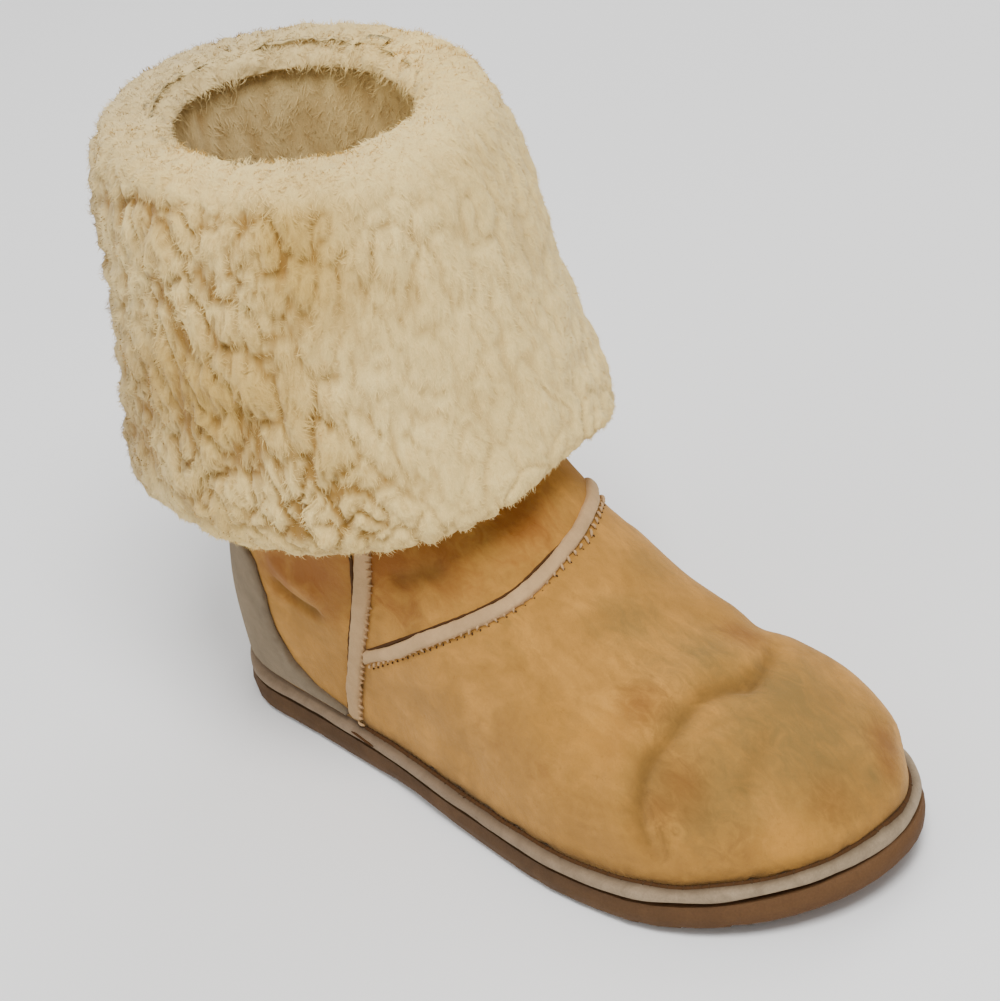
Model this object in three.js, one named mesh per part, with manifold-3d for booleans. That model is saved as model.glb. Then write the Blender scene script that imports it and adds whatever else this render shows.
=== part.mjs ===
// A right sheepskin boot, standing empty on its sole with its tall shaft folded down over itself.
//
// The folded shaft shows its deep fleece as a cuff. Below the cuff the suede upper is one hollow wall of
// skin and inner fleece, open at the collar and underneath, where a midsole band and an outsole close it.
// Raised bindings cover the two side seams and the top edge of the vamp, and a counter wraps the heel.
//
// Units are millimetres. +X points to the toe, +Y to the inner side of the foot and +Z up.
// Lengths along the boot are counted from the back of the outsole; the whole is centred at the end.

import * as THREE from "three";
import { mergeVertices } from "three/addons/utils/BufferGeometryUtils.js";
import Module from "manifold-3d";

// ---------------------------------------------------------------- driving dimensions

const SOLE_LENGTH = 280; // outsole, heel to toe
const HEEL_ROUND = 38; // length of the outsole's round end at the heel
const TOE_ROUND = 66; // and at the toe
const TOE_SPRING = 9; // how far the toe tip rises off the floor
const SPRING_START = 190; // where the toe starts to rise
const ARCH_START = 82; // hollow under the waist
const ARCH_END = 158;
const ARCH_LIFT = 1.8;

const OUTSOLE_THICKNESS = 10;
const MIDSOLE_THICKNESS = 7;
const GAP = 0.3; // between pieces that meet
const OVERLAY_GAP = 0.45; // between the upper and what lies on its curved skin
const MIDSOLE_INSET = 1; // from the outsole's edge
const UPPER_INSET = 3.6; // from the outsole's edge to the foot of the upper

const WALL = 8; // skin with its inner fleece
const COLLAR_HEIGHT = 221; // where the standing wall ends and the skin folds over
const INSTEP_LEAN = 4; // the ridge of the instep lies this far to the inner side
const INSOLE_THICKNESS = 7;
const UPPER_BASE = OUTSOLE_THICKNESS + MIDSOLE_THICKNESS + 2 * GAP;

// Half width of the outsole and the swing of its middle line, before the ends are rounded.
const SOLE_SECTIONS = [
  { at: 0, half: 42.5, swing: 0 },
  { at: 50, half: 42.5, swing: -1 },
  { at: 99, half: 42.8, swing: -4 },
  { at: 141, half: 45.8, swing: -7 },
  { at: 179, half: 50.2, swing: -7 },
  { at: 216, half: 53, swing: -3 },
  { at: 240, half: 54, swing: 1 },
  { at: 280, half: 54, swing: 7 },
];

// Height of the instep's ridge over the floor, along the foot.
const RIDGE = [
  { at: 40, height: 142 },
  { at: 110, height: 133 },
  { at: 130, height: 122 },
  { at: 148, height: 107 },
  { at: 165, height: 93 },
  { at: 190, height: 78.5 },
  { at: 215, height: 68 },
  { at: 240, height: 59 },
  { at: 256, height: 51 },
  { at: 267, height: 42 },
  { at: 273, height: 34.5 },
  { at: 277, height: 26 },
];
const ARCH_FULLNESS = 2.3; // exponent of the foot's arched sections

// Level sections of heel and shaft: where the back and front walls stand, and the half width.
const SHAFT_SECTIONS = [
  { height: 0, back: 4, front: 118, half: 29 },
  { height: 20, back: 2.5, front: 120, half: 33 },
  { height: 42, back: 1.5, front: 125, half: 37 },
  { height: 62, back: 4, front: 131, half: 39.5 },
  { height: 84, back: 9, front: 137, half: 41.5 },
  { height: 100, back: 10.5, front: 141, half: 43.5 },
  { height: 112, back: 10.5, front: 140, half: 45 },
  { height: 124, back: 10, front: 135.5, half: 46 },
  { height: 140, back: 9.5, front: 129.5, half: 46.5 },
  { height: 170, back: 8.5, front: 123, half: 47.5 },
  { height: 250, back: 6, front: 117, half: 49 },
];
const BLEND = 8; // how tightly foot and shaft flow into each other

// Heights over the upper's foot at which its rings lie.
const UPPER_LEVELS = [
  0, 4, 8, 12, 16, 20, 24, 27.5, 31, 34, 37, 40, 43, 46, 49.5, 53, 57, 61.5, 66.5, 72, 78, 84.5, 91, 97, 103,
  112, 125, 145, 170, COLLAR_HEIGHT - UPPER_BASE,
];
const LINING_LEVELS = [
  0, 5, 10, 15, 19, 23, 27, 31, 35, 38.5, 42, 46, 50, 55, 61, 68, 76, 84, 92, 100, 112, 140, 170,
  COLLAR_HEIGHT - UPPER_BASE,
];
const UPPER_COLUMNS = 56; // points round each ring

// ---------------------------------------------------------------- helpers

const clamp = (value, low, high) => Math.min(high, Math.max(low, value));
const mix = (a, b, share) => a + (b - a) * share;
const DEGREE = Math.PI / 180;

function smoothstep(value, low, high) {
  const t = clamp((value - low) / (high - low), 0, 1);
  return t * t * (3 - 2 * t);
}

// Smooth curve through one column of a table, without overshoot between its rows.
function tableCurve(rows, key, column) {
  const xs = rows.map((row) => row[key]);
  const ys = rows.map((row) => row[column]);
  const secants = xs.slice(1).map((x, i) => (ys[i + 1] - ys[i]) / (x - xs[i]));
  const slopes = xs.map((_, i) => {
    if (i === 0) return secants[0];
    if (i === xs.length - 1) return secants[i - 1];
    if (secants[i - 1] * secants[i] <= 0) return 0;
    return (2 * secants[i - 1] * secants[i]) / (secants[i - 1] + secants[i]);
  });
  return (value) => {
    const v = clamp(value, xs[0], xs[xs.length - 1]);
    const above = xs.findIndex((x) => x > v);
    const i = above < 0 ? xs.length - 2 : above - 1;
    const span = xs[i + 1] - xs[i];
    const t = (v - xs[i]) / span;
    return (
      (1 + 2 * t) * (1 - t) ** 2 * ys[i] +
      t * (1 - t) ** 2 * span * slopes[i] +
      t * t * (3 - 2 * t) * ys[i + 1] +
      t * t * (t - 1) * span * slopes[i + 1]
    );
  };
}

// Share of the full width at a distance from a round end of the given length.
function roundEnd(distance, length) {
  const t = clamp(distance / length, 0, 1);
  return Math.sqrt(t * (2 - t));
}

// Faces of a grid of rings. Rings run from the heel by the outer side to the toe and home.
function ringFaces(ringCount, columns, closed) {
  const faces = [];
  for (let r = 0; r < (closed ? ringCount : ringCount - 1); r++) {
    for (let c = 0; c < columns; c++) {
      const here = r * columns;
      const above = ((r + 1) % ringCount) * columns;
      const next = (c + 1) % columns;
      faces.push(here + c, here + next, above + next);
      faces.push(here + c, above + next, above + c);
    }
  }
  return faces;
}

function geometryOf(points, faces) {
  const geometry = new THREE.BufferGeometry();
  const numbers = points.flatMap((point) => point.toArray());
  geometry.setAttribute("position", new THREE.Float32BufferAttribute(numbers, 3));
  geometry.setIndex(faces);
  geometry.computeVertexNormals();
  return geometry;
}

// A tube of rings that closes on itself: up the outside, over the top, down the inside.
function closedShell(rings) {
  return geometryOf(rings.flat(), ringFaces(rings.length, rings[0].length, true));
}

// A solid stack of rings. Its bottom and top are closed by strips from side to side.
function solidStack(rings) {
  const n = rings[0].length;
  const faces = ringFaces(rings.length, n, false);
  const top = (rings.length - 1) * n;
  for (let i = 0; i < n / 2; i++) {
    const across = (n - i) % n;
    const acrossNext = n - i - 1;
    if (i > 0) {
      faces.push(i, across, i + 1);
      faces.push(top + i, top + i + 1, top + across);
    }
    if (i + 1 < n / 2) {
      faces.push(i + 1, across, acrossNext);
      faces.push(top + i + 1, top + acrossNext, top + across);
    }
  }
  return geometryOf(rings.flat(), faces);
}

// ---------------------------------------------------------------- joining and cutting

const wasm = await Module();
wasm.setup();

function toManifold(geometry) {
  const bare = geometry.clone();
  bare.deleteAttribute("normal");
  bare.deleteAttribute("uv");
  const merged = mergeVertices(bare, 1e-4);
  const vertProperties = new Float32Array(merged.getAttribute("position").array);
  const triVerts = new Uint32Array(merged.getIndex().array);
  return new wasm.Manifold(new wasm.Mesh({ numProp: 3, vertProperties, triVerts }));
}

function fromManifold(solid) {
  const { vertProperties, triVerts } = solid.getMesh();
  const geometry = new THREE.BufferGeometry();
  geometry.setAttribute("position", new THREE.BufferAttribute(new Float32Array(vertProperties), 3));
  geometry.setIndex(new THREE.BufferAttribute(new Uint32Array(triVerts), 1));
  geometry.computeVertexNormals();
  return geometry;
}

const cutAway = (geometry, cutters) =>
  fromManifold(cutters.reduce((solid, cutter) => solid.subtract(toManifold(cutter)), toManifold(geometry)));
const keepWithin = (geometry, cutter) => fromManifold(toManifold(geometry).intersect(toManifold(cutter)));

function meshOf(name, geometry, color, roughness) {
  const material = new THREE.MeshStandardMaterial({ color, roughness, metalness: 0 });
  const mesh = new THREE.Mesh(geometry, material);
  mesh.name = name;
  return mesh;
}

// ---------------------------------------------------------------- the sole's plan and profile

const soleHalf = tableCurve(SOLE_SECTIONS, "at", "half");
const soleSwing = tableCurve(SOLE_SECTIONS, "at", "swing");

const toeRise = (x) => TOE_SPRING * clamp((x - SPRING_START) / (SOLE_LENGTH - SPRING_START), 0, 1) ** 2;
const archRise = (x) =>
  ARCH_LIFT * Math.sin(Math.PI * clamp((x - ARCH_START) / (ARCH_END - ARCH_START), 0, 1)) ** 2;

const SOLE_COLUMNS = 72; // points round the plan

// Points round the sole's plan, moved in from the edge, at the height heightAt gives for each station.
function planRing(inset, heightAt) {
  const middle = SOLE_LENGTH / 2;
  const reach = middle - inset;
  const ring = [];
  for (let i = 0; i < SOLE_COLUMNS; i++) {
    const turn = (2 * Math.PI * i) / SOLE_COLUMNS;
    const x = middle - reach * Math.cos(turn);
    const heel = roundEnd(x - inset, HEEL_ROUND);
    const toe = roundEnd(SOLE_LENGTH - inset - x, TOE_ROUND);
    const half = (soleHalf(x) - inset) * heel * toe;
    const side = i < SOLE_COLUMNS / 2 ? -1 : 1;
    ring.push(new THREE.Vector3(x, soleSwing(x) + side * half, heightAt(x)));
  }
  return ring;
}

// ---------------------------------------------------------------- the upper's own function

const ridgeHeight = tableCurve(RIDGE, "at", "height");
const shaftBack = tableCurve(SHAFT_SECTIONS, "height", "back");
const shaftFront = tableCurve(SHAFT_SECTIONS, "height", "front");
const shaftHalf = tableCurve(SHAFT_SECTIONS, "height", "half");

// Levels follow the toe spring close to the sole and lie flat higher up.
const LEVEL_FLAT = 45;
const levelHeight = (x, lift) => UPPER_BASE + lift + toeRise(x) * clamp(1 - lift / LEVEL_FLAT, 0, 1);

// The ridge of the form that lies at a depth under the skin; a negative depth lies outside it.
const STEEPEST = 1.6;
function ridgeAt(x, depth) {
  const slope = ridgeHeight(x + 1) - ridgeHeight(x);
  return ridgeHeight(x) - depth * Math.min(Math.hypot(1, slope), STEEPEST);
}

// Half width of the arched foot.
function footHalf(x, z, depth) {
  const base = UPPER_BASE + toeRise(x);
  const arched = Math.max(ridgeAt(x, depth) - base, 0.5);
  const share = clamp((z - base) / arched, 0, 1);
  const arch = (1 - share ** ARCH_FULLNESS) ** (1 / ARCH_FULLNESS);
  const heel = roundEnd(x - shaftBack(z) - depth, HEEL_ROUND);
  const toe = roundEnd(SOLE_LENGTH - UPPER_INSET - depth - x, TOE_ROUND);
  return (soleHalf(x) - UPPER_INSET - depth) * heel * toe * arch;
}

// Half width of the upright heel and shaft.
function columnHalf(x, z, depth) {
  const back = shaftBack(z) + depth;
  const front = shaftFront(z) - depth;
  const share = clamp((2 * x - back - front) / (front - back), -1, 1);
  return (shaftHalf(z) - depth) * Math.sqrt(1 - share * share);
}

function upperHalf(x, z, depth) {
  const foot = footHalf(x, z, depth);
  const column = columnHalf(x, z, depth);
  return (foot ** BLEND + column ** BLEND) ** (1 / BLEND);
}

// Where a level meets the front of the upper: on the foot's ridge, or on the shaft above the instep.
const FRONT_FROM = 40; // a station that is always behind the front
const HALVINGS = 40; // of the stretch searched
function upperFront(lift, depth) {
  let inside = FRONT_FROM;
  let outside = SOLE_LENGTH - UPPER_INSET - depth;
  for (let i = 0; i < HALVINGS; i++) {
    const x = (inside + outside) / 2;
    if (ridgeAt(x, depth) > levelHeight(x, lift)) inside = x;
    else outside = x;
  }
  return Math.max(inside, shaftFront(UPPER_BASE + lift) - depth);
}

// The middle line follows the sole's swing below and leans to the inner side along the instep.
const SWING_FADE = [60, 125]; // heights over which the shaft leaves the sole's swing
const LEAN_HEIGHTS = [25, 95]; // and over which the instep comes to lean
const LEAN_STATIONS = [95, 150];
function upperMiddle(x, z) {
  const foot = 1 - smoothstep(z, ...SWING_FADE);
  const lean = smoothstep(z, ...LEAN_HEIGHTS) * smoothstep(x, ...LEAN_STATIONS);
  return soleSwing(x) * foot + INSTEP_LEAN * lean;
}

// Point of the upper. The turn runs from the back over the outer side to the front (pi) and home.
function upperPoint(turn, lift, depth) {
  const back = shaftBack(UPPER_BASE + lift) + depth;
  const front = upperFront(lift, depth);
  const x = (back + front) / 2 - ((front - back) / 2) * Math.cos(turn);
  const z = levelHeight(x, lift);
  const side = Math.sin(turn) > 0 ? -1 : 1;
  const onMiddle = Math.abs(Math.sin(turn)) < 1e-9;
  const half = onMiddle ? 0 : upperHalf(x, z, depth);
  return new THREE.Vector3(x, upperMiddle(x, z) + side * half, z);
}

function upperRing(lift, depth) {
  const ring = [];
  for (let i = 0; i < UPPER_COLUMNS; i++) {
    ring.push(upperPoint((2 * Math.PI * i) / UPPER_COLUMNS, lift, depth));
  }
  return ring;
}

// ---------------------------------------------------------------- the main pieces

// The outsole's edge from the floor up: how far it is drawn in, and how much of the arch's rise it follows.
const OUTSOLE_SECTION = [
  { inset: 2.2, height: 0, arch: 1 },
  { inset: 0.4, height: 2, arch: 1 },
  { inset: 0, height: 6, arch: 0 },
  { inset: 0.6, height: OUTSOLE_THICKNESS, arch: 0 },
];
const wholeOutsole = solidStack(
  OUTSOLE_SECTION.map(({ inset, height, arch }) =>
    planRing(inset, (x) => toeRise(x) + arch * archRise(x) + height),
  ),
);

// Grooves across heel and forefoot leave the lugs standing between them.
const GROOVE_WIDTH = 4.5;
const GROOVE_DEPTH = 2.2;
const GROOVES = [
  { from: 19, step: 14, count: 4 },
  { from: 168, step: 14, count: 7 },
];

const grooveCutters = GROOVES.flatMap(({ from, step, count }) =>
  Array.from({ length: count }, (_, i) => {
    const x = from + i * step;
    const cutter = new THREE.BoxGeometry(GROOVE_WIDTH, 2 * SOLE_LENGTH, 2 * GROOVE_DEPTH);
    return cutter.translate(x, 0, toeRise(x));
  }),
);
const outsoleSolid = cutAway(wholeOutsole, grooveCutters);

// The midsole band's edge swells a little, then rounds in towards the upper.
const MIDSOLE_SECTION = [
  { inset: MIDSOLE_INSET, height: 0 },
  { inset: MIDSOLE_INSET - 0.2, height: 3 },
  { inset: MIDSOLE_INSET + 1.6, height: MIDSOLE_THICKNESS },
];
const midsoleSolid = solidStack(
  MIDSOLE_SECTION.map(({ inset, height }) =>
    planRing(inset, (x) => toeRise(x) + OUTSOLE_THICKNESS + GAP + height),
  ),
);

const upperSolid = closedShell([
  ...UPPER_LEVELS.map((lift) => upperRing(lift, 0)),
  ...LINING_LEVELS.map((lift) => upperRing(lift, WALL)).reverse(),
]);

const insoleSolid = solidStack(
  [0, INSOLE_THICKNESS / 2, INSOLE_THICKNESS].map((lift) => upperRing(lift, WALL + 2 * GAP)),
);

// ---------------------------------------------------------------- the folded cuff

const CUFF_CLEAR = 3.4; // between the standing wall and the folded skin
const CUFF_TOP = 232;

// The cuff's lower edge round the boot, in degrees from the back over the outer side: its height, and
// how much further than the plain section it stands out.
const CUFF_EDGE = [
  { turn: 0, height: 88, flare: 1.2 },
  { turn: 45, height: 90, flare: 1.12 },
  { turn: 90, height: 99, flare: 1 },
  { turn: 135, height: 110, flare: 1 },
  { turn: 180, height: 119, flare: 0.92 },
  { turn: 225, height: 112, flare: 0.88 },
  { turn: 270, height: 101, flare: 0.97 },
  { turn: 315, height: 91, flare: 1.1 },
  { turn: 360, height: 88, flare: 1.2 },
];
const cuffEdge = tableCurve(CUFF_EDGE, "turn", "height");
const cuffFlare = tableCurve(CUFF_EDGE, "turn", "flare");

// The cuff's section: distance out from the skin, and drop from the top as a share of the cuff's height.
const CUFF_SECTION = [
  { out: CUFF_CLEAR, drop: 0.93 },
  { out: 7, drop: 0.98 },
  { out: 13, drop: 1 },
  { out: 19.5, drop: 0.98 },
  { out: 24.5, drop: 0.925 },
  { out: 26.5, drop: 0.85 },
  { out: 26, drop: 0.72 },
  { out: 24, drop: 0.53 },
  { out: 21, drop: 0.33 },
  { out: 17.5, drop: 0.15 },
  { out: 12.5, drop: 0.035 },
  { out: 5, drop: 0 },
  { out: -3, drop: 0.012 },
];

const CUFF_COLUMNS = 56;

function cuffRing(outAt, heightAt) {
  const ring = [];
  for (let i = 0; i < CUFF_COLUMNS; i++) {
    const angle = (360 * i) / CUFF_COLUMNS;
    ring.push(upperPoint(angle * DEGREE, heightAt(angle) - UPPER_BASE, -outAt(angle)));
  }
  return ring;
}

const cuffSkin = CUFF_SECTION.map(({ out, drop }) =>
  cuffRing(
    (angle) => CUFF_CLEAR + (out - CUFF_CLEAR) * mix(1, cuffFlare(angle), drop),
    (angle) => mix(CUFF_TOP, cuffEdge(angle), drop),
  ),
);
const cuffSeat = [
  { out: 1 - WALL, height: COLLAR_HEIGHT + 4 },
  { out: 1 - WALL, height: COLLAR_HEIGHT + GAP },
  { out: CUFF_CLEAR, height: COLLAR_HEIGHT + GAP },
].map(({ out, height }) => cuffRing(() => out, () => height));

const cuffSolid = closedShell([...cuffSkin, ...cuffSeat]);

// ---------------------------------------------------------------- the heel counter

const COUNTER_THICKNESS = 1.5;
const COUNTER_LEVELS = [0.6, 4, 8, 12, 17, 22, 28, 34, 40, 46, 52, 58, 64, 70];

// The counter's edge in side view: down its upright front, then forward in a tongue along the sole.
const COUNTER_EDGE = [
  { at: -20, height: 84 },
  { at: 14, height: 83 },
  { at: 32, height: 78 },
  { at: 43, height: 68 },
  { at: 46.5, height: 56 },
  { at: 47.5, height: 42 },
  { at: 53, height: 30 },
  { at: 64, height: 24 },
  { at: 80, height: 20 },
  { at: 80, height: 0 },
  { at: -20, height: 0 },
];

const counterShell = closedShell([
  ...COUNTER_LEVELS.map((lift) => upperRing(lift, -OVERLAY_GAP - COUNTER_THICKNESS)),
  ...COUNTER_LEVELS.map((lift) => upperRing(lift, -OVERLAY_GAP)).reverse(),
]);

// A block across the boot with the given outline in side view.
function blockAcross(rows) {
  const outline = new THREE.Shape(rows.map(({ at, height }) => new THREE.Vector2(at, height)));
  const block = new THREE.ExtrudeGeometry(outline, { depth: 2 * SOLE_LENGTH, bevelEnabled: false });
  return block.rotateX(Math.PI / 2).translate(0, SOLE_LENGTH, 0);
}

const counterSolid = keepWithin(counterShell, blockAcross(COUNTER_EDGE));

// ---------------------------------------------------------------- the bindings

const BINDING_THICKNESS = 1.6;
const SIDE_BINDING_WIDTH = 6.5;
const VAMP_BINDING_WIDTH = 5;

// The side seam leans forward as it climbs from the sole to under the cuff.
const SIDE_SEAM = [
  { height: UPPER_BASE, at: 83.5 },
  { height: 30, at: 86.2 },
  { height: 47, at: 92.3 },
  { height: 64, at: 98 },
  { height: 79, at: 102.2 },
  { height: 110, at: 107 },
];
const sideSeamAt = tableCurve(SIDE_SEAM, "height", "at");

// The vamp's top edge, in degrees of turn. It rises from the outer side seam over the instep, where it is
// highest just past the ridge, and comes down to the inner side seam.
const VAMP_EDGE = [
  { turn: 73.4, height: 48.3 },
  { turn: 79.7, height: 53.6 },
  { turn: 87.3, height: 59.6 },
  { turn: 98, height: 67 },
  { turn: 107.9, height: 72.5 },
  { turn: 128, height: 81.3 },
  { turn: 146, height: 87.3 },
  { turn: 162, height: 91.8 },
  { turn: 180, height: 95.6 },
  { turn: 196, height: 97.6 },
  { turn: 208, height: 97.6 },
  { turn: 222, height: 94.5 },
  { turn: 240, height: 87 },
  { turn: 256, height: 77 },
  { turn: 270, height: 63.5 },
  { turn: 279.5, height: 54.5 },
  { turn: 286.6, height: 48.3 },
];
const vampEdgeHeight = tableCurve(VAMP_EDGE, "turn", "height");

// Turn at which the skin reaches a station along the boot, on its outer side.
function turnAt(x, lift) {
  const back = shaftBack(UPPER_BASE + lift);
  const front = upperFront(lift, 0);
  return Math.acos(clamp((back + front - 2 * x) / (front - back), -1, 1));
}

const TINY = 1e-3;

// How the skin runs at a place: along the turn, along the lift, and straight out of it.
function skinFrame(turn, lift) {
  const here = upperPoint(turn, lift, 0);
  const alongTurn = upperPoint(turn + TINY, lift, 0).sub(upperPoint(turn - TINY, lift, 0));
  const alongLift = upperPoint(turn, lift + TINY, 0).sub(upperPoint(turn, lift - TINY, 0));
  alongTurn.divideScalar(2 * TINY);
  alongLift.divideScalar(2 * TINY);
  const outward = alongTurn.clone().cross(alongLift).normalize();
  return { here, alongTurn, alongLift, outward };
}

// The place on the skin reached from another by a short straight step.
function stepOnSkin(place, step) {
  const target = upperPoint(place.turn, place.lift, 0).add(step);
  let { turn, lift } = place;
  for (let i = 0; i < 4; i++) {
    const { here, alongTurn, alongLift } = skinFrame(turn, lift);
    const miss = target.clone().sub(here);
    const tt = alongTurn.dot(alongTurn);
    const tl = alongTurn.dot(alongLift);
    const ll = alongLift.dot(alongLift);
    const area = tt * ll - tl * tl;
    turn += (miss.dot(alongTurn) * ll - miss.dot(alongLift) * tl) / area;
    lift += (miss.dot(alongLift) * tt - miss.dot(alongTurn) * tl) / area;
  }
  return { turn, lift };
}

// A ribbon laid on the skin along a line of places, raised between two distances from it.
function ribbon(places, width, low, high) {
  const section = [
    { across: -0.5, out: low },
    { across: -0.5, out: mix(low, high, 0.55) },
    { across: -0.3, out: high },
    { across: 0.3, out: high },
    { across: 0.5, out: mix(low, high, 0.55) },
    { across: 0.5, out: low },
    { across: 0, out: low },
  ];
  const rings = places.map((place, i) => {
    const before = places[Math.max(i - 1, 0)];
    const after = places[Math.min(i + 1, places.length - 1)];
    const along = upperPoint(after.turn, after.lift, 0).sub(upperPoint(before.turn, before.lift, 0));
    const across = along.cross(skinFrame(place.turn, place.lift).outward).normalize();
    return section.map((corner) => {
      const spot = stepOnSkin(place, across.clone().multiplyScalar(corner.across * width));
      const { here, outward } = skinFrame(spot.turn, spot.lift);
      return here.addScaledVector(outward, corner.out);
    });
  });
  const n = section.length;
  const last = (rings.length - 1) * n;
  const faces = ringFaces(rings.length, n, false);
  const capped = [
    [0, 1, 6],
    [1, 2, 6],
    [2, 3, 6],
    [3, 4, 6],
    [4, 5, 6],
  ];
  for (const [a, b, c] of capped) {
    faces.push(a, c, b);
    faces.push(last + a, last + b, last + c);
  }
  return geometryOf(rings.flat(), faces);
}

const mirrored = ({ turn, lift }) => ({ turn: 2 * Math.PI - turn, lift });
const evenly = (from, to, count) => Array.from({ length: count }, (_, i) => mix(from, to, i / (count - 1)));

const SIDE_BINDING_FOOT = UPPER_BASE + 0.8;
const SIDE_BINDING_TOP = 106;
const SIDE_ROWS = 20; // sections along each side binding
const VAMP_ROWS = 44; // and along the vamp binding
const sideSeam = evenly(SIDE_BINDING_FOOT, SIDE_BINDING_TOP, SIDE_ROWS).map((height) => {
  const lift = height - UPPER_BASE;
  return { turn: turnAt(sideSeamAt(height), lift), lift };
});

const vampEdge = evenly(VAMP_EDGE[0].turn, VAMP_EDGE.at(-1).turn, VAMP_ROWS).map((degrees) => ({
  turn: degrees * DEGREE,
  lift: vampEdgeHeight(degrees) - UPPER_BASE,
}));

const OVERLAY_TOP = OVERLAY_GAP + BINDING_THICKNESS;
const outerBinding = ribbon(sideSeam, SIDE_BINDING_WIDTH, OVERLAY_GAP, OVERLAY_TOP);
const innerBinding = ribbon(sideSeam.map(mirrored), SIDE_BINDING_WIDTH, OVERLAY_GAP, OVERLAY_TOP);

// The vamp binding stops a gap short of both side bindings.
const CLEAR_WIDTH = SIDE_BINDING_WIDTH + 2 * GAP;
const CLEAR_LOW = -2; // the clearance reaches from under the skin to well above the bindings
const CLEAR_HIGH = 6;
const sideClearances = [sideSeam, sideSeam.map(mirrored)].map((seam) =>
  ribbon(seam, CLEAR_WIDTH, CLEAR_LOW, CLEAR_HIGH),
);
const vampBinding = cutAway(ribbon(vampEdge, VAMP_BINDING_WIDTH, OVERLAY_GAP, OVERLAY_TOP), sideClearances);

// ---------------------------------------------------------------- the boot

const group = new THREE.Group();
group.name = "sheepskin_boot";
group.add(meshOf("outsole", outsoleSolid, "#5a4430", 0.9));
group.add(meshOf("midsole_band", midsoleSolid, "#807060", 0.85));
group.add(meshOf("upper", upperSolid, "#b08a58", 0.95));
group.add(meshOf("insole", insoleSolid, "#cdba94", 1));
group.add(meshOf("fleece_cuff", cuffSolid, "#cdba94", 1));
group.add(meshOf("heel_counter", counterSolid, "#7d7466", 0.95));
group.add(meshOf("side_binding_outer", outerBinding, "#b09474", 0.95));
group.add(meshOf("side_binding_inner", innerBinding, "#b09474", 0.95));
group.add(meshOf("vamp_binding", vampBinding, "#b09474", 0.95));

const bounds = new THREE.Box3().setFromObject(group);
const centre = bounds.getCenter(new THREE.Vector3());
for (const mesh of group.children) {
  mesh.geometry.translate(-centre.x, -centre.y, -bounds.min.z);
}

export default group;
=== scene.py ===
"""A sheepskin boot standing on a pale floor, its fleece-lined shaft folded down into a deep cuff."""

import math

import bpy
import numpy as np
from mathutils import Matrix, Vector, noise
from mathutils.bvhtree import BVHTree


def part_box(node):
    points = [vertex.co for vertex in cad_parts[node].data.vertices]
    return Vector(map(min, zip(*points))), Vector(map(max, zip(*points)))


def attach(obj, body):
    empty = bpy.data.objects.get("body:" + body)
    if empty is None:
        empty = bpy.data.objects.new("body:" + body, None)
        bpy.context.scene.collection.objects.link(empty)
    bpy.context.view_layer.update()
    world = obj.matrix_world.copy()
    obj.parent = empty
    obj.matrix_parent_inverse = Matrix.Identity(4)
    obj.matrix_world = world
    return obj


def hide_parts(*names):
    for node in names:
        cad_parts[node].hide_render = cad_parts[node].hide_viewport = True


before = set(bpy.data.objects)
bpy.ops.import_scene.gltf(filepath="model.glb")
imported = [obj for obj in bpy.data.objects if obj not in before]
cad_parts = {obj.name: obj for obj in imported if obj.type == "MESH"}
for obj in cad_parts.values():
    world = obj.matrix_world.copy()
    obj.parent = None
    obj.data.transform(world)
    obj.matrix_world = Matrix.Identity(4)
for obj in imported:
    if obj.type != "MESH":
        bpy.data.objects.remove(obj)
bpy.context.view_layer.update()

bl_info = {
    "name": "Sheepskin Boot",
    "version": (1, 0, 0),
    "blender": (4, 5, 0),
    "location": "View3D > Sidebar > Boot",
    "description": "Dresses the boot's frame in suede, tape, wool and rubber",
    "category": "Add Mesh",
}

MM = 0.001
BODY = "root"
OUTER = -1  # the side of the little toe
INNER = 1


# ---------------------------------------------------------------- settings


def colour(label, words, default):
    """A colour setting."""
    return bpy.props.FloatVectorProperty(
        name=label, description=words, subtype="COLOR_GAMMA", size=3, min=0, max=1, default=default
    )


def length(label, words, default, low, high):
    """A length setting, given in millimetres."""
    return bpy.props.FloatProperty(
        name=label, description=words, default=default * MM, min=low * MM, max=high * MM,
        subtype="DISTANCE", unit="LENGTH",
    )


class BootSettings(bpy.types.PropertyGroup):
    """Sizes and colours of the boot that a user would change."""

    suede_colour: colour("Suede", "Main colour of the suede", (0.69, 0.495, 0.225))
    tape_colour: colour("Tape", "Colour of the bindings over the seams", (0.70, 0.57, 0.41))
    counter_colour: colour("Counter", "Colour of the heel counter", (0.46, 0.405, 0.33))
    band_colour: colour("Band", "Colour of the band over the outsole", (0.51, 0.43, 0.345))
    outsole_colour: colour("Outsole", "Colour of the outsole", (0.34, 0.25, 0.165))
    wool_colour: colour("Wool", "Colour of the wool's tips", (0.96, 0.85, 0.565))
    wool_golden_colour: colour("Golden wool", "Colour of the wool's golden patches", (0.80, 0.66, 0.35))
    # the root colour also paints the shade deep between the locks
    wool_root_and_gap_shade_colour: colour("Wool root and gap shade", "Colour deep between the locks", (0.58, 0.43, 0.19))
    lock_size: length("Lock size", "Width of one curly lock on the cuff", 13, 5, 30)
    lock_depth: length("Lock depth", "Depth of the gaps between locks", 4.6, 1, 8)
    strand_length: length("Strand length", "Length of the loose strands on the cuff", 5.2, 2, 15)
    strand_count: bpy.props.IntProperty(
        name="Strands", description="Number of loose strands in each part of the cuff",
        default=37000, min=1000, max=39000,
    )
    lining_strand_count: bpy.props.IntProperty(
        name="Lining strands", description="Number of loose strands inside the shaft",
        default=15000, min=1000, max=39000,
    )
    stitch_length: length("Stitch length", "Length of a stitch", 2.2, 1, 4)


# ---------------------------------------------------------------- tables of places, in millimetres

# Heel's back edge of the outsole in the frame; stations along the boot are counted from it.
HEEL_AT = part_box("outsole")[0].x / MM

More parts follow.
